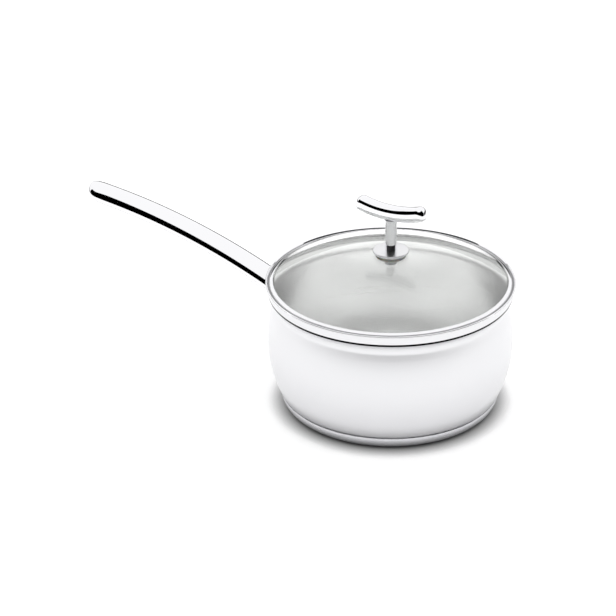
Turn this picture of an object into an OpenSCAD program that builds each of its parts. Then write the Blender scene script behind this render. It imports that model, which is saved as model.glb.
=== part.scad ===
// Saucepan with a glass lid: a bellied steel pot on an encapsulated base, a hollow handle
// of two pressed shells, and a domed glass lid with a steel ring and a bar-shaped knob.
// Millimetres. The origin is the centre of the base's underside, +Z is up, and the
// handle points along -X.

/* [Pot] */
// Greatest outside diameter of the belly
belly_d = 165.2; // [150:0.2:200]
// Height of the belly's widest line above the table
belly_z = 46; // [42:0.5:50]
// Radius of the belly's curve above its widest line
belly_upper_r = 110; // [100:1:140]
// Radius of the belly's curve below its widest line
belly_lower_r = 79; // [70:1:100]
// Radius of the bend between the belly and the pot's floor
floor_bend_r = 8; // [6:0.5:10]
// Thickness of the pot's wall and floor
wall = 0.8; // [0.6:0.1:1.2]
// Height of the neck above the belly's widest line
neck_rise = 29.5; // [27:0.5:33]
// Radius of the groove that forms the neck
neck_groove_r = 7.5; // [6:0.5:9]
// How far the rim band's face lies inside the belly's widest line
rim_inset = 0.3; // [0:0.1:2]
// Height of the rim above the neck
rim_rise = 13.1; // [11:0.1:16]
// Radius of the bend at the foot of the rim band
rim_bend_r = 1.6; // [1.2:0.1:2]

/* [Base] */
// Thickness of the steel skin that encloses the base
skin = 0.6; // [0.5:0.1:1]
// Thickness of the aluminium disc
core_t = 6; // [4:0.5:7]
// Height of the skin's upper edge above the table
skin_h = 9.4; // [8.8:0.1:10]
// How far the base's flat underside lies inside the belly's widest line
foot_inset = 17.6; // [16:0.2:24]

/* [Handle] */
// Horizontal distance from the belly's widest line to the handle's tip
handle_len = 150; // [110:1:220]
// Height of the handle's centre line where it meets the wall
handle_root_z = 65.2; // [62:0.2:68]
// Upward slope of the handle at the wall, in degrees
root_slope = 26.2; // [20:0.2:30]
// Upward slope of the handle at its tip, in degrees
tip_slope = 5.8; // [2:0.2:12]
// Width of the handle at the wall
root_w = 21.2; // [17:0.2:26]
// Height of the handle at the wall
root_h = 14.2; // [12:0.2:20]
// Width of the handle just before its rounded tip
tip_w = 19.8; // [15:0.2:24]
// Height of the handle just before its rounded tip
tip_h = 18; // [14:0.2:20]
// Length over which the underside rises to the tip
tip_rise = 20; // [14:0.5:26]
// Length over which the sides round in to the tip
tip_round = 9; // [6:0.5:12]
// How far the tip's end lies above the centre line, as a share of the half height
tip_lift = 0.9; // [0:0.05:0.95]
// Squareness of the handle's oval section, 2 is an ellipse
handle_square = 2.2; // [2:0.1:3]
// Thickness of the handle's two shells
shell_t = 1.2; // [0.8:0.1:1.6]
// Length of the bracket's tongue inside the handle
tongue_len = 34; // [20:1:60]
// Thickness of the bracket
bracket_t = 1.5; // [1:0.1:2.5]

/* [Lid] */
// Thickness of the glass
glass_t = 3; // [2.5:0.1:3.5]
// Radius of the glass dome's outer surface
dome_r = 169; // [150:1:260]
// Thickness of the ring's steel strip
ring_t = 0.4; // [0.3:0.05:0.6]
// How far the ring's rolled edge stands out past the pot's rim band
ring_proud = 1.5; // [1:0.1:2]
// Height of the rolled edge, which rests on the pot's rim
ring_edge_h = 1.2; // [0.8:0.1:2]
// How far the ring's lip laps over the glass
ring_lap = 1.5; // [1:0.1:3]
// Height of the glass's upper edge above the pot's rim
glass_rise = 0.6; // [0.4:0.1:1.2]
// Gap between the ring's channel and the inside of the rim band
channel_gap = 0.6; // [0.4:0.1:1.2]

/* [Knob] */
// Diameter of the knob's foot disc
foot_disc_d = 24; // [20:0.5:30]
// Thickness of the knob's foot disc
foot_disc_t = 1.8; // [1.2:0.1:2.5]
// Diameter of the knob's stem
stem_d = 7.8; // [7:0.1:10]
// Length of the stem between the foot disc and the grip's underside
stem_len = 21.6; // [18:0.2:30]
// Depth of the socket in the grip that holds the stem
socket_depth = 3; // [2:0.5:4]
// Length of the grip bar
grip_len = 50; // [44:0.2:64]
// Width of the grip bar
grip_w = 10.6; // [9:0.2:15]
// Height of the grip bar
grip_h = 10.2; // [8:0.2:12]
// Squareness of the grip's oval section, 2 is an ellipse
grip_square = 2.5; // [2:0.1:3]
// Radius of the grip bar's upward curve
grip_bow_r = 72; // [60:1:200]
// Nominal diameter of the fixing screw
screw_d = 4; // [3:0.1:5]
// Depth of the screw's hole in the stem
stem_bore = 15; // [12:0.5:18]

/* [Hidden] */

steel = [0.86, 0.86, 0.87];
bright_steel = [0.93, 0.93, 0.95];
aluminium = [0.74, 0.75, 0.77];
silicone = [0.86, 0.86, 0.84];
nylon = [0.94, 0.94, 0.92];
clear_glass = [0.78, 0.86, 0.86, 0.35];

ARC_STEPS = 14;
ROUND = 96;

// Points along an arc in the (radius, height) plane, angles in degrees from +radius.
function arc(c, r, from, to, n = ARC_STEPS) =
    [for (i = [0:n]) let (a = from + (to - from) * i / n) [c[0] + r * cos(a), c[1] + r * sin(a)]];

// The list in reverse order.
function reversed(v) = [for (i = [len(v) - 1:-1:0]) v[i]];

// Pot profile. Each arc's outer and inner side share a centre, a wall apart.
belly_r = belly_d / 2;
rim_r = belly_r - rim_inset;
pot_floor_z = skin + core_t;
neck_z = belly_z + neck_rise;
rim_z = neck_z + rim_rise;
upper_c = [belly_r - belly_upper_r, belly_z];
lower_c = [belly_r - belly_lower_r, belly_z];
groove_span = belly_upper_r + neck_groove_r;
groove_c = [upper_c[0] + sqrt(groove_span * groove_span - neck_rise * neck_rise), neck_z];
upper_end = asin(neck_rise / groove_span);
bend_span = neck_groove_r + rim_bend_r;
bend_in = groove_c[0] - (rim_r - rim_bend_r);
bend_c = [rim_r - rim_bend_r, neck_z + sqrt(bend_span * bend_span - bend_in * bend_in)];
bend_start = acos(bend_in / bend_span);
floor_span = belly_lower_r - floor_bend_r;
lower_end = -asin((belly_z - pot_floor_z - floor_bend_r) / floor_span);
floor_c = [lower_c[0] + floor_span * cos(lower_end), pot_floor_z + floor_bend_r];

// One side of the pot's wall from the floor up, set in from the outside by d.
function pot_side(d) = concat(
    arc(floor_c, floor_bend_r - d, -90, lower_end),
    arc(lower_c, belly_lower_r - d, lower_end, 0, 20),
    arc(upper_c, belly_upper_r - d, 0, upper_end),
    arc(groove_c, neck_groove_r + d, 180 + upper_end, 180 - bend_start),
    arc(bend_c, rim_bend_r - d, -bend_start, 0, 8));

rim_lip = wall / 2;
pot_outline = concat([[0, pot_floor_z]], pot_side(0), [[rim_r, rim_z - rim_lip]],
    arc([rim_r - rim_lip, rim_z - rim_lip], rim_lip, 15, 165, 6),
    [[rim_r - wall, rim_z - rim_lip]], reversed(pot_side(wall)), [[0, pot_floor_z + wall]]);

// Outside of the pot without its hollow, for cutting what butts on it.
module pot_solid(grow = 0) {
    rotate_extrude($fn = ROUND)
        polygon(concat([[0, pot_floor_z]], pot_side(-grow), [[rim_r, rim_z], [0, rim_z]]));
}

// Base skin: a cup whose bend rises to lap the pot's own bend.
function bend_x(z, d) = floor_c[0] + sqrt(pow(floor_bend_r - d, 2) - pow(floor_c[1] - z, 2));
foot_r = belly_r - foot_inset;
skin_r = bend_x(skin_h, 0) + skin;
skin_bend = skin_r - foot_r;
skin_c = [foot_r, skin_bend];
core_rise = 1.6;
core_top_z = pot_floor_z + core_rise;
core_edge = -90 + acos((floor_c[1] - core_top_z) / floor_bend_r);

// Handle centre line: one arc in the XZ plane, given as [distance from the axis, height].
root_s = belly_r - 5;
bow_r = (belly_r + handle_len - root_s) / (sin(root_slope) - sin(tip_slope));
root_z = handle_root_z - (belly_r - root_s) * tan(root_slope);
handle_path_len = bow_r * (root_slope - tip_slope) * PI / 180;
function slope_at(u) = root_slope + (tip_slope - root_slope) * u;
function handle_at(u) = [root_s + bow_r * (sin(root_slope) - sin(slope_at(u))),
                         root_z + bow_r * (cos(slope_at(u)) - cos(root_slope))];

// Signed power, which squares up an oval.
function spow(x, square) = sign(x) * pow(abs(x), 2 / square);

// How full a section is, from 1 down to 0 as x runs from 0 to 1 round a blunt end.
function blunt(x) = x <= 0 ? 1 : pow(max(0, 1 - pow(x, 2.4)), 1 / 2.4);

// How full the section is at u when the tip's end takes the given length of the path.
function fullness(u, len) = blunt(1 + (u - 1) * handle_path_len / len);
function handle_w(u) = root_w + (tip_w - root_w) * u;
function handle_h(u) = root_h + (tip_h - root_h) * u;

// Stations along the handle, closer together round the tip.
BODY_STEPS = 15;
TIP_STEPS = 9;
rise_u = tip_rise / handle_path_len;
stations = concat([for (i = [0:BODY_STEPS]) (1 - rise_u) * i / BODY_STEPS],
                  [for (i = [1:TIP_STEPS]) 1 - rise_u + rise_u * sin(88 * i / TIP_STEPS)]);

// A point of the handle's section: across is along Y, up is square to the centre line.
function section_point(u, across, up) =
    let (p = handle_at(u), t = slope_at(u))
    [-(p[0] - up * sin(t)), across, p[1] + up * cos(t)];

// Section points at u for each of the angles, inset by d.
function section_ring(u, angles, d) =
    let (f = fullness(u, tip_rise), half_h = handle_h(u) / 2, lift = half_h * (1 - f) * tip_lift,
         hw = max(handle_w(u) / 2 * fullness(u, tip_round) - d, 0.2), hh = max(half_h * f - d, 0.2))
    [for (a = angles)
        section_point(u, hw * spow(cos(a), handle_square), lift + hh * spow(sin(a), handle_square))];

// A closed solid through equal rings of points.
module loft(rings) {
    n = len(rings[0]);
    m = len(rings);
    sides = [for (j = [0:m - 2]) for (i = [0:n - 1])
        [j * n + i, j * n + (i + 1) % n, (j + 1) * n + (i + 1) % n, (j + 1) * n + i]];
    first = [for (i = [n - 1:-1:0]) i];
    last = [for (i = [0:n - 1]) (m - 1) * n + i];
    polyhedron(points = [for (r = rings) for (p = r) p], faces = concat(sides, [first, last]));
}

// Lid: the ring's rolled edge rests on the rim, its channel holds the glass inside the mouth.
ring_r = rim_r + ring_proud;
channel_r = rim_r - wall - channel_gap;
glass_r = channel_r - ring_t - 0.1;
glass_edge_z = rim_z + glass_rise;
dome_c = glass_edge_z - sqrt(dome_r * dome_r - glass_r * glass_r);
glass_seat_z = dome_c + sqrt(pow(dome_r - glass_t, 2) - glass_r * glass_r);
lip_r = glass_r - ring_lap;
lip_z = dome_c + sqrt(dome_r * dome_r - lip_r * lip_r);
apex_z = dome_c + dome_r;
channel_z = glass_seat_z - ring_t;

// Knob stack, upwards from the glass, on the pot's axis.
bush_clear = 0.1;
bush_id = screw_d + 2 * bush_clear;
bush_od = bush_id + 4.4;
glass_hole_d = bush_od + 0.2;
seal_t = 0.8;
seal_d = foot_disc_d - 4;
seal_z = apex_z + seal_t;
disc_z = seal_z + foot_disc_t;
grip_z = disc_z + stem_len;
grip_mid_z = grip_z + grip_h / 2;

// Knob stack, downwards from the glass.
under_z = apex_z - glass_t;
low_seal_z = under_z - 1;
washer_t = 1;
washer_d = 14;
washer_z = low_seal_z - washer_t;
lock_t = 1;
lock_d = 7.6;
lock_z = washer_z - lock_t;
head_d = 8;
head_h = 2.6;
screw_len = disc_z + 11 - lock_z;

module pot_body() {
    color(steel)
        rotate_extrude($fn = ROUND) polygon(pot_outline);
}

// The disc fills the space under the pot's floor and a little way up its bend.
module base_core() {
    inner_bend = skin_bend - skin;
    edge_a = -asin((skin_bend - core_top_z) / inner_bend);
    color(aluminium)
        rotate_extrude($fn = ROUND)
            polygon(concat([[0, skin]], arc(skin_c, inner_bend, -90, edge_a),
                reversed(arc(floor_c, floor_bend_r, -90, core_edge)), [[0, pot_floor_z]]));
}

module base_skin() {
    color(steel)
        rotate_extrude($fn = ROUND)
            difference() {
                polygon(concat([[0, 0]], arc(skin_c, skin_bend, -90, 0), [[skin_r, skin_h], [0, skin_h]]));
                polygon(concat([[-1, skin]], arc(skin_c, skin_bend - skin, -90, 0),
                    [[skin_r - skin, skin_h + 1], [-1, skin_h + 1]]));
            }
}

// Saddle plate spot-welded to the wall, with a tongue up the handle's hollow.
module handle_bracket() {
    inscribed = 0.62;
    plate_w = (root_w - 2 * shell_t) * inscribed;
    plate_h = (root_h - 2 * shell_t) * inscribed;
    tongue_w = plate_w - 3;
    color(steel)
        difference() {
            intersection() {
                union() {
                    intersection() {
                        pot_solid(bracket_t);
                        handle_axes() cube([belly_r, plate_w, plate_h], center = true);
                    }
                    handle_axes() translate([-tongue_len / 2, 0, 0])
                        cube([tongue_len, tongue_w, bracket_t], center = true);
                }
                translate([-belly_r - tongue_len, -root_w, 0]) cube([tongue_len + 30, 2 * root_w, 2 * rim_z]);
            }
            pot_solid();
        }
}

// Places its children at the wall with -X along the handle's start.
module handle_axes() {
    translate([-belly_r + 1, 0, handle_root_z]) rotate([0, root_slope - 2, 0]) children();
}

// One shell of the handle: the half above or below the seam, hollowed, butted on the pot.
module handle_half(start) {
    half_angles = [for (i = [0:14]) start + 180 * i / 14];
    hollow_angles = [for (i = [0:27]) 360 * i / 28];
    hollow_from = -0.02;
    hollow_to = 1 - 0.35 * rise_u;
    difference() {
        loft([for (u = stations) section_ring(u, half_angles, 0)]);
        loft([for (i = [0:BODY_STEPS])
            section_ring(hollow_from + (hollow_to - hollow_from) * i / BODY_STEPS, hollow_angles, shell_t)]);
        pot_solid();
    }
}

module handle_lower_shell() {
    color(bright_steel) handle_half(180);
}

module handle_upper_shell() {
    color(bright_steel) handle_half(0);
}

module lid_glass() {
    color(clear_glass)
        difference() {
            intersection() {
                translate([0, 0, dome_c]) sphere(r = dome_r, $fn = ROUND);
                translate([0, 0, glass_seat_z - 1]) cylinder(r = glass_r, h = dome_r, $fn = ROUND);
            }
            translate([0, 0, dome_c]) sphere(r = dome_r - glass_t, $fn = ROUND);
            translate([0, 0, dome_c]) cylinder(d = glass_hole_d, h = 2 * dome_r, $fn = 48);
        }
}

// Steel strip: floor and wall of the glass's channel, rolled edge on the rim, valley, and
// the lip over the glass.
module lid_ring() {
    roll_r = ring_edge_h / 2;
    corner_r = 0.7;
    valley_z = rim_z + ring_t;
    color(bright_steel)
        rotate_extrude($fn = ROUND)
            polygon(concat(
                [[lip_r, channel_z]],
                arc([channel_r - corner_r, channel_z + corner_r], corner_r, -90, 0, 5),
                [[channel_r, rim_z]],
                arc([ring_r - roll_r, rim_z + roll_r], roll_r, -90, 150, 12),
                [[rim_r, valley_z], [channel_r + 0.3, valley_z], [channel_r - 0.2, glass_edge_z + ring_t],
                 [lip_r, lip_z + ring_t], [lip_r, lip_z],
                 [glass_r, glass_edge_z], [glass_r + 0.1, glass_edge_z - 0.3],
                 [glass_r + 0.1, glass_seat_z + 0.4], [glass_r - 0.3, glass_seat_z],
                 [lip_r, glass_seat_z]]));
}

// A flat ring on the axis between two heights.
module washer(outer_d, inner_d, z0, z1) {
    translate([0, 0, z0])
        difference() {
            cylinder(d = outer_d, h = z1 - z0, $fn = 64);
            translate([0, 0, -1]) cylinder(d = inner_d, h = z1 - z0 + 2, $fn = 48);
        }
}

// Soft disc between two heights on the axis; one face follows a sphere of radius r.
module seal(r, flat_z) {
    inner = glass_hole_d / 2;
    outer = seal_d / 2;
    rotate_extrude($fn = ROUND)
        polygon(concat([[outer, flat_z], [inner, flat_z]],
            arc([0, dome_c], r, acos(inner / r), acos(outer / r), 4)));
}

module knob_top_seal() {
    color(silicone) seal(dome_r, seal_z);
}

module knob_bottom_seal() {
    color(silicone) seal(dome_r - glass_t, low_seal_z);
}

module knob_bush() {
    color(nylon) washer(bush_od, bush_id, low_seal_z, seal_z);
}

module knob_washer() {
    color(steel) washer(washer_d, screw_d + 0.3, washer_z, low_seal_z);
}

// Split spring washer, pressed flat.
module knob_lock_washer() {
    split_w = 0.8;
    color(steel)
        difference() {
            washer(lock_d, screw_d + 0.3, lock_z, washer_z);
            translate([0, -split_w / 2, lock_z - 1]) cube([lock_d, split_w, lock_t + 2]);
        }
}

// Pan head below, shank up through the glass into the stem.
module knob_screw() {
    drive_w = 1.1;
    color(steel)
        union() {
            translate([0, 0, lock_z]) cylinder(d = screw_d, h = screw_len, $fn = 48);
            difference() {
                translate([0, 0, lock_z - head_h]) cylinder(d = head_d, h = head_h, $fn = 64);
                for (turn = [0, 90])
                    translate([0, 0, lock_z - head_h]) rotate([0, 0, turn])
                        cube([head_d * 0.6, drive_w, head_h], center = true);
            }
        }
}

module knob_foot_disc() {
    edge_r = 0.5;
    color(bright_steel)
        rotate_extrude($fn = ROUND)
            polygon(concat([[screw_d / 2 + 0.1, seal_z], [foot_disc_d / 2 - 0.2, seal_z]],
                arc([foot_disc_d / 2 - edge_r, disc_z - edge_r], edge_r, 0, 90, 5),
                [[screw_d / 2 + 0.1, disc_z]]));
}

module knob_stem() {
    color(bright_steel)
        difference() {
            translate([0, 0, disc_z]) cylinder(d = stem_d, h = stem_len + socket_depth, $fn = 64);
            translate([0, 0, disc_z - 1]) cylinder(d = screw_d, h = stem_bore + 1, $fn = 48);
        }
}

// Grip bar: an oval section swept along a shallow upward bow, with blunt round ends.
module knob_grip() {
    end_round = 4.5;
    straight = grip_len / 2 - end_round;
    ring_steps = 28;
    middle = [for (i = [-6:6]) i / 6 * straight];
    ends = [for (i = [1:6]) straight + end_round * sin(86 * i / 6)];
    all_x = concat(reversed([for (x = ends) -x]), middle, ends);
    color(bright_steel)
        difference() {
            loft([for (x = all_x)
                let (f = blunt((abs(x) - straight) / end_round),
                     t = asin(x / grip_bow_r),
                     c = [grip_bow_r * sin(t), grip_mid_z + grip_bow_r * (1 - cos(t))])
                [for (i = [0:ring_steps - 1])
                    let (a = 360 * i / ring_steps, up = grip_h / 2 * f * spow(sin(a), grip_square))
                    [c[0] - up * sin(t), grip_w / 2 * f * spow(cos(a), grip_square), c[1] + up * cos(t)]]]);
            translate([0, 0, grip_z - 1]) cylinder(d = stem_d, h = socket_depth + 1, $fn = 64);
        }
}

pot_body();
base_core();
base_skin();
handle_bracket();
handle_lower_shell();
handle_upper_shell();
lid_glass();
lid_ring();
knob_top_seal();
knob_bush();
knob_bottom_seal();
knob_washer();
knob_lock_washer();
knob_screw();
knob_foot_disc();
knob_stem();
knob_grip();
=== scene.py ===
"""Saucepan with a glass lid: the looks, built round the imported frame.

Sizes are millimetres and become metres through MM. The pot's axis is +Z, the base stands
on z = 0, and the handle points along -X. Turned pieces are an outline spun round the axis;
the handle and the grip are oval rings carried along an arc.
"""

import math

import bpy
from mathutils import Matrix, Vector


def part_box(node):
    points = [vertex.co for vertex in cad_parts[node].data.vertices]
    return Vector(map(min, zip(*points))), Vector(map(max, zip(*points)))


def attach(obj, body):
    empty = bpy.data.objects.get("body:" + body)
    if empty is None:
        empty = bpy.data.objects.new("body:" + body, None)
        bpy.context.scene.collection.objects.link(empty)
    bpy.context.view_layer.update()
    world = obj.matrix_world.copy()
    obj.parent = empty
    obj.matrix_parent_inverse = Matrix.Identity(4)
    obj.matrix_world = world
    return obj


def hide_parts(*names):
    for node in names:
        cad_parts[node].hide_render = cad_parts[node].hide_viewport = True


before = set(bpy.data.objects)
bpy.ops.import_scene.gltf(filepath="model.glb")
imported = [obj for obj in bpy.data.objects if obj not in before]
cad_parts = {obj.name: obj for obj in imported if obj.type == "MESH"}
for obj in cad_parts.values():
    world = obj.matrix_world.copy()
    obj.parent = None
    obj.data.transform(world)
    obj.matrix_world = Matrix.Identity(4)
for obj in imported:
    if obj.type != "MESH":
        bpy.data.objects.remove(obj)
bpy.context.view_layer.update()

MM = 0.001
TURN_STEPS = 192
WELD = 0.000002


def cad(node):
    """Lowest and highest corner of a CAD node, in millimetres."""
    low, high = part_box(node)
    return low / MM, high / MM


# ---------------------------------------------------------------- modelling

def start_point(name, place):
    """A new mesh, in edit mode, whose one point lies at the given place in millimetres."""
    bpy.ops.object.select_all(action="DESELECT")
    bpy.ops.mesh.primitive_plane_add(size=MM)
    piece = bpy.context.object
    piece.name = piece.data.name = name
    bpy.ops.object.mode_set(mode="EDIT")
    bpy.ops.mesh.select_mode(type="VERT")
    bpy.ops.mesh.merge(type="CENTER")
    bpy.ops.transform.translate(value=Vector(place) * MM)
    return piece


def finish_edit(piece, smooth_angle):
    """Merges doubles, turns the faces outwards and smooths all but the crisp edges."""
    bpy.ops.mesh.select_all(action="SELECT")
    bpy.ops.mesh.remove_doubles(threshold=WELD)
    bpy.ops.mesh.normals_make_consistent(inside=False)
    bpy.ops.object.mode_set(mode="OBJECT")
    bpy.ops.object.shade_smooth_by_angle(angle=math.radians(smooth_angle))
    return piece


def arc(centre, radius, start, end, steps=10):
    """Points (radius, height) along an arc, angles in degrees from the outward direction."""
    turns = [math.radians(start + (end - start) * i / steps) for i in range(steps + 1)]
    return [(centre[0] + radius * math.cos(a), centre[1] + radius * math.sin(a)) for a in turns]


def turned(name, outline, smooth_angle=30):
    """A turned piece: a point drawn along the outline, then spun once round the axis."""
    piece = start_point(name, (outline[0][0], 0, outline[0][1]))
    for (r0, z0), (r1, z1) in zip(outline, outline[1:]):
        step = Vector((r1 - r0, 0, z1 - z0)) * MM
        bpy.ops.mesh.extrude_region_move(TRANSFORM_OT_translate={"value": step})
    bpy.ops.mesh.select_all(action="SELECT")
    bpy.ops.mesh.spin(steps=TURN_STEPS, angle=math.tau, center=(0, 0, 0), axis=(0, 0, 1))
    return finish_edit(piece, smooth_angle)


def closed(outline):
    """The outline with its first point again at its end."""
    return outline + outline[:1]


def apply_modifiers(piece):
    bpy.ops.object.select_all(action="DESELECT")
    piece.select_set(True)
    bpy.context.view_layer.objects.active = piece
    for modifier in list(piece.modifiers):
        bpy.ops.object.modifier_apply(modifier=modifier.name)


def cut(piece, tools):
    """Cuts the tools' solids out of the piece."""
    for tool in tools:
        boolean = piece.modifiers.new("cut", "BOOLEAN")
        boolean.operation = "DIFFERENCE"
        boolean.solver = "EXACT"
        boolean.object = tool
    apply_modifiers(piece)


def carry_ring(old, new):
    """Moves the selected ring from one station to the next: level, resize, carry, tilt.

    A station is (centre, slope in radians, width, height), in metres.
    """
    (centre0, slope0, width0, height0), (centre1, slope1, width1, height1) = old, new
    bpy.ops.transform.rotate(value=slope0, orient_axis="Y", center_override=centre0)
    growth = (1, width1 / width0, height1 / height0)
    bpy.ops.transform.resize(value=growth, center_override=centre0)
    bpy.ops.transform.translate(value=centre1 - centre0)
    bpy.ops.transform.rotate(value=-slope1, orient_axis="Y", center_override=centre1)


def oval(angles, square):
    """Points (across, up) of a unit oval at angles in degrees; square 2 is a circle."""
    def power(x):
        return math.copysign(abs(x) ** (2 / square), x)
    turns = [math.radians(a) for a in angles]
    return [(power(math.cos(a)), power(math.sin(a))) for a in turns]


def swept(name, stations, ring):
    """A skin through the stations, in edit mode, with its last ring drawn to a point."""
    piece = start_point(name, (0, ring[0][0], ring[0][1]))
    for (y0, z0), (y1, z1) in zip(ring, ring[1:]):
        step = Vector((0, y1 - y0, z1 - z0)) * MM
        bpy.ops.mesh.extrude_region_move(TRANSFORM_OT_translate={"value": step})
    bpy.ops.mesh.select_all(action="SELECT")
    bpy.ops.mesh.remove_doubles(threshold=WELD)
    carry_ring((Vector((0, 0, 0)), 0, 2 * MM, 2 * MM), stations[0])
    for old, new in zip(stations, stations[1:]):
        bpy.ops.mesh.extrude_region_move(TRANSFORM_OT_translate={"value": (0, 0, 0)})
        carry_ring(old, new)
    bpy.ops.mesh.merge(type="CENTER")
    return piece


def blunt(x, power=2.4):
    """How full a section is as x runs from 0 to 1 round a blunt end."""
    return 1.0 if x <= 0 else max(0.0, 1 - x ** power) ** (1 / power)


# ---------------------------------------------------------------- sizes from the frame

pot_low, pot_high = cad("pot_body")
skin_high = cad("base_skin")[1]
ring_high = cad("lid_ring")[1]
glass_low, glass_high = cad("lid_glass")
top_seal_low, top_seal_high = cad("knob_top_seal")
low_seal_low, low_seal_high = cad("knob_bottom_seal")
bush_high = cad("knob_bush")[1]
disc_low, disc_high = cad("knob_foot_disc")
stem_low, stem_high = cad("knob_stem")
grip_low = cad("knob_grip")[0]
washer_low, washer_high = cad("knob_washer")

# ---------------------------------------------------------------- pot

WALL = 0.8
BELLY_R = pot_high.y
BELLY_Z = 46.0
UPPER_R = 110.0
LOWER_R = 79.0
BEND_R = 8.0
NECK_RISE = 29.5
GROOVE_R = 7.5
RIM_R = BELLY_R - 0.3
RIM_BEND_R = 1.6
FLOOR_Z = pot_low.z
RIM_Z = pot_high.z

neck_z = BELLY_Z + NECK_RISE
upper_c = (BELLY_R - UPPER_R, BELLY_Z)
lower_c = (BELLY_R - LOWER_R, BELLY_Z)
groove_span = UPPER_R + GROOVE_R
groove_c = (upper_c[0] + math.sqrt(groove_span ** 2 - NECK_RISE ** 2), neck_z)
upper_end = math.degrees(math.asin(NECK_RISE / groove_span))
bend_span = GROOVE_R + RIM_BEND_R
bend_in = groove_c[0] - (RIM_R - RIM_BEND_R)
rim_bend_c = (RIM_R - RIM_BEND_R, neck_z + math.sqrt(bend_span ** 2 - bend_in ** 2))
bend_start = math.degrees(math.acos(bend_in / bend_span))
floor_span = LOWER_R - BEND_R
lower_end = -math.degrees(math.asin((BELLY_Z - FLOOR_Z - BEND_R) / floor_span))
floor_c = (lower_c[0] + floor_span * math.cos(math.radians(lower_end)), FLOOR_Z + BEND_R)


def pot_side(inset):
    """One side of the wall from the floor up, set in from the outside."""
    return (arc(floor_c, BEND_R - inset, -90, lower_end, 12)
            + arc(lower_c, LOWER_R - inset, lower_end, 0, 16)[1:]
            + arc(upper_c, UPPER_R - inset, 0, upper_end, 12)[1:]
            + arc(groove_c, GROOVE_R + inset, 180 + upper_end, 180 - bend_start, 18)[1:]
            + arc(rim_bend_c, RIM_BEND_R - inset, -bend_start, 0, 10)[1:])


lip_r = WALL / 2
pot_outline = ([(0, FLOOR_Z)] + pot_side(0) + [(RIM_R, RIM_Z - lip_r - 0.3)]
               + arc((RIM_R - lip_r, RIM_Z - lip_r), lip_r, 0, 180, 10)
               + [(RIM_R - WALL, RIM_Z - lip_r - 0.3)] + pot_side(WALL)[::-1]
               + [(BELLY_R * 0.4, FLOOR_Z + WALL), (0, FLOOR_Z + WALL)])
pot_wall = turned("pot_wall", pot_outline)

# ---------------------------------------------------------------- base

SKIN_T = 0.6
skin_r = skin_high.y
FOOT_R = BELLY_R - 17.6
skin_bend = skin_r - FOOT_R
skin_c = (FOOT_R, skin_bend)
EDGE_T = SKIN_T / 2

# Shallow turned grooves in the underside, as (radius, half width, depth).
GROOVES = [(radius, 0.9, 0.25) for radius in (20.0, 38.0, 56.0)]


def groove(radius, half_w, depth):
    """A groove's outline, from its inner edge to its outer one, on the underside."""
    return [(radius - half_w, 0), (radius - half_w * 0.5, depth * 0.85), (radius, depth),
            (radius + half_w * 0.5, depth * 0.85), (radius + half_w, 0)]


base_outline = ([(0, 0)] + [p for g in GROOVES for p in groove(*g)]
                + arc(skin_c, skin_bend, -90, 0, 16) + [(skin_r, skin_high.z - EDGE_T)]
                + arc((skin_r - EDGE_T, skin_high.z - EDGE_T), EDGE_T, 0, 180, 8)[1:]
                + arc(skin_c, skin_bend - SKIN_T, 0, -90, 12) + [(0, SKIN_T)])
base_cup = turned("base_cup", base_outline)

# ---------------------------------------------------------------- handle

ROOT_Z = 65.2
ROOT_SLOPE = math.radians(26.2)
TIP_SLOPE = math.radians(5.8)
ROOT_W, ROOT_H = 21.2, 14.2
TIP_W, TIP_H = 19.8, 18.0
TIP_RISE = 20.0
TIP_ROUND = 9.0
TIP_LIFT = 0.9
SHELL_T = 1.2
root_s = BELLY_R - 5.0
bow_r = (BELLY_R + 150.0 - root_s) / (math.sin(ROOT_SLOPE) - math.sin(TIP_SLOPE))
bow_z = ROOT_Z - (BELLY_R - root_s) * math.tan(ROOT_SLOPE)
path_len = bow_r * (ROOT_SLOPE - TIP_SLOPE)


def handle_station(u):
    """The handle's section at share u of its path."""
    slope = ROOT_SLOPE + (TIP_SLOPE - ROOT_SLOPE) * u
    back = (1 - u) * path_len
    half_h = (ROOT_H + (TIP_H - ROOT_H) * u) / 2
    full_h = blunt(1 - back / TIP_RISE)
    full_w = blunt(1 - back / TIP_ROUND)
    out = root_s + bow_r * (math.sin(ROOT_SLOPE) - math.sin(slope))
    high = bow_z + bow_r * (math.cos(slope) - math.cos(ROOT_SLOPE))
    lift = half_h * (1 - full_h) * TIP_LIFT
    centre = Vector((-out + lift * math.sin(slope), 0, high + lift * math.cos(slope)))
    width = max((ROOT_W + (TIP_W - ROOT_W) * u) * full_w, 0.1)
    height = max(2 * half_h * full_h, 0.1)
    return centre * MM, slope, width * MM, height * MM


BODY_STATIONS = 30
TIP_STATIONS = 22
rise_u = TIP_RISE / path_len
shares = [(1 - rise_u) * i / BODY_STATIONS for i in range(BODY_STATIONS + 1)]
shares += [1 - rise_u + rise_u * math.sin(math.radians(89.3 * i / TIP_STATIONS))
           for i in range(1, TIP_STATIONS + 1)]
handle_stations = [handle_station(u) for u in shares]

HANDLE_SQUARE = 2.2
GRIP_SQUARE = 2.5
# The first and last strip beside the seam is narrow, so the polish runs on across it.
SEAM_ANGLES = [0, 0.6] + [3.6 * i for i in range(1, 50)] + [179.4, 180]
pot_plug = turned("pot_plug", [(0, FLOOR_Z)] + pot_side(0) + [(RIM_R, RIM_Z), (0, RIM_Z)])


def handle_shell(name, side):
    """One pressed shell, above (side 1) or below (side -1) the seam, butted on the wall."""
    piece = swept(name, handle_stations, oval([side * a for a in SEAM_ANGLES], HANDLE_SQUARE))
    finish_edit(piece, 40)
    solid = piece.modifiers.new("wall", "SOLIDIFY")
    solid.thickness = SHELL_T * MM
    solid.offset = -1
    solid.use_even_offset = True
    solid.thickness_clamp = 1.0
    cut(piece, [pot_plug])
    return piece


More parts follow.
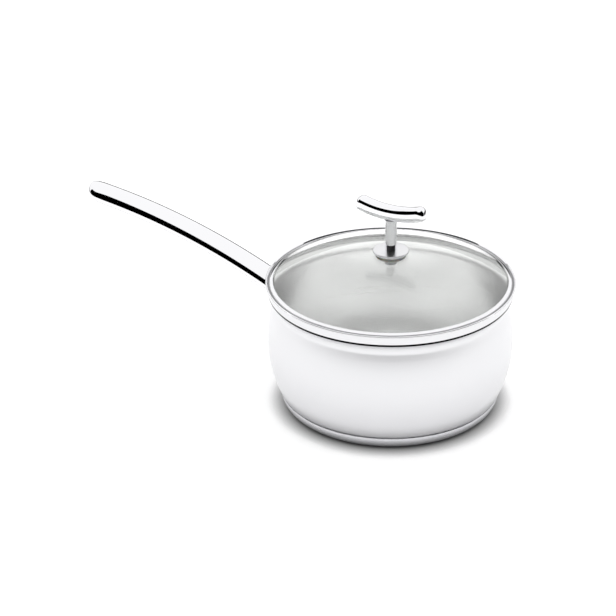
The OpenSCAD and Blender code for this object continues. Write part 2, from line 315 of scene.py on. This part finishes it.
handle_top = handle_shell("handle_top", 1)
handle_underside = handle_shell("handle_underside", -1)
bpy.data.objects.remove(pot_plug)

# ---------------------------------------------------------------- lid

DOME_R = 169.0
GLASS_T = 3.0
RING_T = 0.4
RING_EDGE_H = 1.2
RING_LAP = 1.5
CHANNEL_GAP = 0.6
ring_r = ring_high.y
glass_r = glass_high.y
seat_z = glass_low.z
dome_z = seat_z - math.sqrt((DOME_R - GLASS_T) ** 2 - glass_r ** 2)
edge_z = dome_z + math.sqrt(DOME_R ** 2 - glass_r ** 2)
hole_r = bush_high.y + 0.1


def dome(radius, inner, outer, steps):
    """Points along a sphere about the dome's centre, between two distances from the axis."""
    start = math.degrees(math.acos(inner / radius))
    end = math.degrees(math.acos(outer / radius))
    return arc((0, dome_z), radius, start, end, steps)


# Ground and fire-polished edges: the rim and the hole are rounded off.
GROUND = 0.5
glass_outline = (dome(DOME_R, hole_r + GROUND, glass_r - GROUND, 30)
                 + arc((glass_r - GROUND, edge_z - GROUND), GROUND, 70, 0, 5)
                 + arc((glass_r - GROUND, seat_z + GROUND), GROUND, 0, -70, 5)
                 + dome(DOME_R - GLASS_T, glass_r - 2 * GROUND, hole_r + GROUND, 30)
                 + [(hole_r, dome_z + DOME_R - GLASS_T + GROUND), (hole_r, dome_z + DOME_R - GROUND)])
lid_pane = turned("lid_pane", closed(glass_outline), 40)

# The ring: channel under the glass, rolled edge on the rim, valley, and lip over the glass.
channel_r = RIM_R - WALL - CHANNEL_GAP
channel_z = seat_z - RING_T
roll_r = RING_EDGE_H / 2
CORNER_R = 0.7
LIP_SHOULDER_R = 0.35
valley_z = RIM_Z + RING_T
lap_r = glass_r - RING_LAP
lap_z = dome_z + math.sqrt(DOME_R ** 2 - lap_r ** 2)
ring_outline = ([(lap_r, channel_z)]
                + arc((channel_r - CORNER_R, channel_z + CORNER_R), CORNER_R, -90, 0, 6)
                + [(channel_r, RIM_Z)]
                + arc((ring_r - roll_r, RIM_Z + roll_r), roll_r, -90, 150, 20)
                + [(RIM_R, valley_z), (channel_r + 0.3, valley_z), (channel_r, valley_z + 0.1)]
                + arc((channel_r - LIP_SHOULDER_R, edge_z + RING_T - LIP_SHOULDER_R),
                      LIP_SHOULDER_R, 0, 66, 6)
                + arc((lap_r, lap_z + RING_T / 2), RING_T / 2, 66, 246, 6)
                + [(glass_r, edge_z), (glass_r + 0.1, edge_z - 0.3), (glass_r + 0.1, seat_z + 0.4),
                   (glass_r - 0.3, seat_z), (lap_r, seat_z)])
lid_band = turned("lid_band", closed(ring_outline))

# ---------------------------------------------------------------- knob

SEAL_EDGE = 0.25


def seal(name, low, high, radius, flat_z):
    """A soft disc with rounded rims; one face follows the glass, the other is flat."""
    outer = high.y
    inner = hole_r
    curved = dome(radius, inner, outer - SEAL_EDGE, 6)
    side = 1 if flat_z > curved[0][1] else -1
    rim_z0 = curved[-1][1] + side * SEAL_EDGE
    rim_z1 = flat_z - side * SEAL_EDGE
    outline = (curved + [(outer - SEAL_EDGE * 0.3, rim_z0 - side * SEAL_EDGE * 0.7),
                         (outer, rim_z0), (outer, rim_z1),
                         (outer - SEAL_EDGE * 0.3, rim_z1 + side * SEAL_EDGE * 0.7),
                         (outer - SEAL_EDGE, flat_z), (inner, flat_z)])
    return turned(name, closed(outline))


upper_seal = seal("upper_seal", top_seal_low, top_seal_high, DOME_R, top_seal_high.z)
lower_seal = seal("lower_seal", low_seal_low, low_seal_high, DOME_R - GLASS_T, low_seal_low.z)


CLEAR = 0.02
DISC_BORE_R = 2.1
WASHER_BORE_R = 2.15


def flat_ring(name, low, high, bore_r, edge):
    """A stamped or turned flat ring with broken edges, a hair clear of what it touches."""
    outer = high.y
    top_z = high.z - CLEAR
    bottom_z = low.z + CLEAR
    outline = (arc((outer - edge, top_z - edge), edge, 90, 0, 5)
               + arc((outer - edge, bottom_z + edge), edge, 0, -90, 5)
               + [(bore_r, bottom_z), (bore_r, top_z)])
    return turned(name, closed(outline))


foot_plate = flat_ring("foot_plate", disc_low, disc_high, DISC_BORE_R, 0.55)
plain_washer = flat_ring("plain_washer", washer_low, washer_high, WASHER_BORE_R, 0.2)

# The stem flares into a ground weld under the grip.
stem_r = stem_high.y
FLARE = 0.9
STEM_BORE_R = 2.0
grip_bottom = grip_low.z
stem_outline = ([(STEM_BORE_R, stem_low.z), (stem_r, stem_low.z), (stem_r, grip_bottom - FLARE)]
                + [(stem_r + 0.25 * FLARE, grip_bottom - 0.3 * FLARE),
                   (stem_r + 0.7 * FLARE, grip_bottom + 0.6), (STEM_BORE_R, grip_bottom + 0.8)])
stem = turned("stem", closed(stem_outline))

GRIP_LEN = 50.0
GRIP_W, GRIP_H = 10.6, 10.2
GRIP_BOW_R = 72.0
GRIP_END = 4.5
grip_mid_z = grip_low.z + GRIP_H / 2


def grip_station(x):
    """The grip bar's section at x from the middle."""
    slope = -math.asin(x / GRIP_BOW_R)
    full = blunt((abs(x) - GRIP_LEN / 2 + GRIP_END) / GRIP_END)
    centre = Vector((x, 0, grip_mid_z + GRIP_BOW_R * (1 - math.cos(slope))))
    return centre * MM, slope, max(GRIP_W * full, 0.1) * MM, max(GRIP_H * full, 0.1) * MM


straight = GRIP_LEN / 2 - GRIP_END
bend_out = [straight + GRIP_END * math.sin(math.radians(89.3 * i / 16)) for i in range(1, 17)]
grip_x = [-x for x in bend_out[::-1]] + [straight * i / 12 for i in range(-12, 13)] + bend_out
grip_ring = oval([i * 4.5 for i in range(81)], GRIP_SQUARE)
grip_bar = swept("grip_bar", [grip_station(x) for x in grip_x], grip_ring)
bpy.ops.mesh.select_all(action="DESELECT")
bpy.ops.mesh.select_non_manifold()
bpy.ops.mesh.merge(type="CENTER")
finish_edit(grip_bar, 60)

# ---------------------------------------------------------------- finishes

def linear(hex_colour):
    """An sRGB hex colour as linear RGBA."""
    values = [int(hex_colour[i:i + 2], 16) / 255 for i in (1, 3, 5)]
    return [v / 12.92 if v <= 0.04045 else ((v + 0.055) / 1.055) ** 2.4 for v in values] + [1.0]


def add(material, kind, settings=None, links=None):
    """Adds a node with its settings, and links {input: (node, output)}."""
    node = material.node_tree.nodes.new(kind)
    for name, value in (settings or {}).items():
        if isinstance(name, int) or name in node.inputs:
            node.inputs[name].default_value = value
        else:
            setattr(node, name, value)
    for name, (source, output) in (links or {}).items():
        material.node_tree.links.new(source.outputs[output], node.inputs[name])
    return node


def new_material(name, settings):
    """A material with its shader, whose constants sit on the shader's own sockets."""
    material = bpy.data.materials.new(name)
    material.use_nodes = True
    shader = material.node_tree.nodes["Principled BSDF"]
    for socket, value in settings.items():
        shader.inputs[socket].default_value = value
    return material, shader


def feed(material, shader, links):
    for socket, (source, output) in links.items():
        material.node_tree.links.new(source.outputs[output], shader.inputs[socket])


def steel(name, colour, roughness, spread, grain, depth):
    """Stainless steel, 18/10. grain is the finish marks' size in mm along X, Y and Z, spread
    how far the roughness strays with them, and depth the marks' depth in mm."""
    material, shader = new_material(name, {"Metallic": 1.0, "Base Color": linear(colour)})
    place = add(material, "ShaderNodeTexCoord")
    scale = [1 / (g * MM) for g in grain]
    mapping = add(material, "ShaderNodeMapping", {"Scale": scale}, {"Vector": (place, "Object")})
    marks = add(material, "ShaderNodeTexNoise", {"Scale": 1.0, "Detail": 3.0, "Roughness": 0.6},
                {"Vector": (mapping, "Vector")})
    rough = add(material, "ShaderNodeMapRange",
                {"From Min": 0.3, "From Max": 0.7,
                 "To Min": roughness - spread, "To Max": roughness + spread},
                {"Value": (marks, "Fac")})
    bump = add(material, "ShaderNodeBump", {"Strength": 1.0, "Distance": depth * MM},
               {"Height": (marks, "Fac")})
    feed(material, shader, {"Roughness": (rough, "Result"), "Normal": (bump, "Normal")})
    return material


# Mirror polish: buffed on a felt wheel, so only faint, wide waviness is left in it. The
# colour is set lighter than real stainless steel.
MIRROR = ("#EAEAEC", 0.045, 0.015, (9, 9, 9), 0.002)
polished_steel = steel("polished stainless steel", *MIRROR)
# Satin: spun against abrasive wool, which leaves fine rings round the axis. The real rings
# are finer than 0.1 mm, and are drawn about 0.8 mm apart so that they show.
satin_steel = steel("satin stainless steel", "#DEDEE0", 0.30, 0.015, (90, 90, 0.8), 0.0)
# Inside, colour and roughness are set on their own. The colour is painted light: it is lighter than real
# steel, because the closed pot came out too dark in steel's own colour.
inner_steel_painted_light = steel("drawn stainless steel, painted light", "#FDFDFD", 0.26, 0.015, (90, 90, 0.8), 0.0)
# Base: turned satin, a little darker; the darker colour is painted shade for the low, down-facing base.
turned_steel_painted_shade = steel("turned stainless steel, painted shade", "#D8D8DB", 0.26, 0.05, (30, 30, 0.6), 0.001)
# The foot plate: turned and lightly buffed, so what it mirrors is smeared.
buffed_steel = steel("buffed stainless steel", "#E2E2E4", 0.3, 0.04, (12, 12, 12), 0.001)
# Stamped and plated small parts.
stamped_steel = steel("stamped stainless steel", "#B8B8BA", 0.28, 0.06, (0.8, 0.8, 0.8), 0.003)
# Pressed aluminium, sealed in the base.
pressed_aluminium = steel("pressed aluminium", "#C9CACC", 0.45, 0.05, (0.6, 0.6, 0.6), 0.01)


def toughened_glass():
    """Soda-lime glass, pressed and toughened: clear, with the long faint waves of the press."""
    material, shader = new_material("toughened glass", {
        "Base Color": linear("#FEFFFE"), "Roughness": 0.0, "IOR": 1.5, "Transmission Weight": 1.0})
    place = add(material, "ShaderNodeTexCoord")
    waves = add(material, "ShaderNodeTexNoise", {"Scale": 1 / (35 * MM), "Detail": 1.0},
                {"Vector": (place, "Object")})
    bump = add(material, "ShaderNodeBump", {"Strength": 1.0, "Distance": 0.004 * MM},
               {"Height": (waves, "Fac")})
    feed(material, shader, {"Normal": (bump, "Normal")})
    return material


def soft_rubber(name, colour, roughness):
    """Moulded silicone or nylon: milky, with the mould's fine matt texture."""
    material, shader = new_material(name, {
        "Base Color": linear(colour), "IOR": 1.43, "Subsurface Weight": 0.3,
        "Subsurface Scale": 1.5 * MM})
    place = add(material, "ShaderNodeTexCoord")
    spark = add(material, "ShaderNodeTexNoise", {"Scale": 1 / (0.25 * MM), "Detail": 2.0},
                {"Vector": (place, "Object")})
    rough = add(material, "ShaderNodeMapRange",
                {"To Min": roughness - 0.08, "To Max": roughness + 0.08}, {"Value": (spark, "Fac")})
    bump = add(material, "ShaderNodeBump", {"Strength": 0.4, "Distance": 0.02 * MM},
               {"Height": (spark, "Fac")})
    feed(material, shader, {"Roughness": (rough, "Result"), "Normal": (bump, "Normal")})
    return material


def paint_crease_shade(material, low_z, high_z, colour):
    """Paints a dark line of shade on the steel between two heights in mm: painted shade for a crease."""
    base = material.node_tree.nodes["Principled BSDF"].inputs["Base Color"]
    place = add(material, "ShaderNodeTexCoord")
    height = add(material, "ShaderNodeSeparateXYZ", {}, {"Vector": (place, "Object")})
    crease = add(material, "ShaderNodeMath",
                 {"operation": "COMPARE", 1: (low_z + high_z) / 2 * MM, 2: (high_z - low_z) / 2 * MM},
                 {0: (height, "Z")})
    painted_shade_tone = add(material, "ShaderNodeMix", {"data_type": "RGBA", 6: base.default_value, 7: linear(colour)},
               {0: (crease, "Value")})
    if base.links:
        material.node_tree.links.new(base.links[0].from_socket, painted_shade_tone.inputs[6])
    material.node_tree.links.new(painted_shade_tone.outputs[2], base)


# Painted shade: dark lines painted for the shade in the crease under the pot's rim band, at the ring's
# foot and in its valley.
RIM_CREASE_SHADE = (81.6, 83.25)
paint_crease_shade(satin_steel, *RIM_CREASE_SHADE, "#0A0A0B")
# The ring's steel is a copy of the mirror polish that carries the two painted shade lines.
ring_steel_painted_shade = steel("polished ring steel, painted shade", *MIRROR)
paint_crease_shade(ring_steel_painted_shade, RIM_Z - 0.1, RIM_Z + 0.12, "#505052")
paint_crease_shade(ring_steel_painted_shade, valley_z - 0.05, valley_z + 0.05, "#808082")
clear_glass = toughened_glass()
silicone = soft_rubber("silicone rubber", "#DEDEDA", 0.5)
nylon = soft_rubber("natural nylon", "#ECEBE6", 0.42)

# ---------------------------------------------------------------- pieces on their bodies

PIECES = [
    (pot_wall, "pot", "pot_body", "satin_steel", satin_steel),
    (base_cup, "pot", "base_skin", "base_steel", turned_steel_painted_shade),
    (handle_top, "pot", "handle_upper_shell", "mirror_steel", polished_steel),
    (handle_underside, "pot", "handle_lower_shell", "mirror_steel", polished_steel),
    (lid_pane, "lid", "lid_glass", "lid_glass", clear_glass),
    (lid_band, "lid", "lid_ring", "mirror_steel", ring_steel_painted_shade),
    (upper_seal, "lid", "knob_top_seal", "silicone", silicone),
    (lower_seal, "lid", "knob_bottom_seal", "silicone", silicone),
    (foot_plate, "knob", "knob_foot_disc", "mirror_steel", buffed_steel),
    (plain_washer, "knob", "knob_washer", "plain_steel", stamped_steel),
    (stem, "knob", "knob_stem", "mirror_steel", polished_steel),
    (grip_bar, "knob", "knob_grip", "mirror_steel", polished_steel),
]
for piece, body, node, slot, material in PIECES:
    piece.data.materials.clear()
    piece.data.materials.append(material)
    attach(piece, body)
    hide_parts(node)

# The pot's inside faces: those that look towards the axis, and the floor's upper side.
# The inside faces get the lighter inner steel, whose colour is painted light.
pot_wall.data.materials.append(inner_steel_painted_light)
for face in pot_wall.data.polygons:
    facing = face.normal.x * face.center.x + face.normal.y * face.center.y
    on_floor = face.normal.z > 0.9 and math.hypot(face.center.x, face.center.y) < FOOT_R * MM
    face.material_index = 1 if facing < 0 or on_floor else 0

KEPT_NODES = {
    "base_core": pressed_aluminium,
    "handle_bracket": stamped_steel,
    "knob_bush": nylon,
    "knob_lock_washer": stamped_steel,
    "knob_screw": stamped_steel,
}
for node, material in KEPT_NODES.items():
    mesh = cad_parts[node].data
    mesh.materials.clear()
    mesh.materials.append(material)

# ---------------------------------------------------------------- camera

AZIMUTH = math.radians(25.5)
ELEVATION = math.radians(27.45)
DISTANCE = 1.8
camera = bpy.data.objects.new("camera", bpy.data.cameras.new("camera"))
bpy.context.scene.collection.objects.link(camera)
bpy.context.scene.camera = camera
camera.data.lens = 155.6
camera.data.shift_x = -0.07
camera.data.clip_end = 40

back = Vector((math.sin(AZIMUTH) * math.cos(ELEVATION), -math.cos(AZIMUTH) * math.cos(ELEVATION),
               math.sin(ELEVATION)))
right = Vector((math.cos(AZIMUTH), math.sin(AZIMUTH), 0))
up = back.cross(right)
target = Vector((0, 0, 0.045))
camera.location = target + back * DISTANCE
aim = target - right * 0.0266 + up * 0.0208
camera.rotation_euler = (aim - camera.location).to_track_quat("-Z", "Y").to_euler()

# ---------------------------------------------------------------- stage and light

def emitter(name, hex_colour, strength):
    material = bpy.data.materials.new(name)
    material.use_nodes = True
    material.node_tree.nodes.clear()
    output = add(material, "ShaderNodeOutputMaterial")
    glow = add(material, "ShaderNodeEmission", {"Color": linear(hex_colour), "Strength": strength})
    material.node_tree.links.new(glow.outputs["Emission"], output.inputs["Surface"])
    return material


# A white tent all round: even light, no lamp.
world = bpy.data.worlds.new("white tent")
bpy.context.scene.world = world
world.use_nodes = True
world.node_tree.nodes["Background"].inputs["Color"].default_value = linear("#FFFFFF")
world.node_tree.nodes["Background"].inputs["Strength"].default_value = 1.16

bpy.ops.object.select_all(action="DESELECT")
bpy.ops.mesh.primitive_circle_add(vertices=96, radius=7, fill_type="NGON")
floor = bpy.context.object
floor.name = "floor"
# An extra contact shade, and a faint glow that keeps the rest white.
paper, paper_shader = new_material("white paper floor", {
    "Roughness": 0.9, "Specular IOR Level": 0.1, "Emission Strength": 0.16})
crevice = add(paper, "ShaderNodeAmbientOcclusion", {"Distance": 0.012})
contact = add(paper, "ShaderNodeMath", {"operation": "POWER", 1: 1.2}, {0: (crevice, "AO")})
feed(paper, paper_shader, {"Base Color": (contact, "Value"), "Emission Color": (contact, "Value")})
floor.data.materials.append(paper)


def black_band(name, radius, low_z, high_z, start, end):
    """A curved black card round the stage, seen only in reflections."""
    bpy.ops.object.select_all(action="DESELECT")
    bpy.ops.mesh.primitive_plane_add(size=MM)
    card = bpy.context.object
    card.name = name
    bpy.ops.object.mode_set(mode="EDIT")
    bpy.ops.mesh.select_mode(type="VERT")
    bpy.ops.mesh.merge(type="CENTER")
    turn = math.radians(start)
    bpy.ops.transform.translate(value=(radius * math.cos(turn), radius * math.sin(turn), low_z))
    bpy.ops.mesh.extrude_region_move(TRANSFORM_OT_translate={"value": (0, 0, high_z - low_z)})
    bpy.ops.mesh.select_all(action="SELECT")
    bpy.ops.mesh.spin(steps=48, angle=math.radians(end - start), center=(0, 0, 0), axis=(0, 0, -1))
    bpy.ops.object.mode_set(mode="OBJECT")
    card.data.materials.append(emitter(name, "#000000", 0))
    card.visible_camera = False
    card.visible_diffuse = False
    card.visible_transmission = False
    return card


# The card behind the camera gives the handle and the grip their dark stripe, the far one
# draws the thin line along their upper outlines.
camera_side = math.degrees(AZIMUTH) - 90
black_band("black card", 2.3, 0.16, 3.1, camera_side - 95, camera_side + 95)
black_band("dark far end", 1.6, 0.03, 0.4, camera_side + 100, camera_side + 260)

bpy.context.scene.view_settings.view_transform = "Standard"
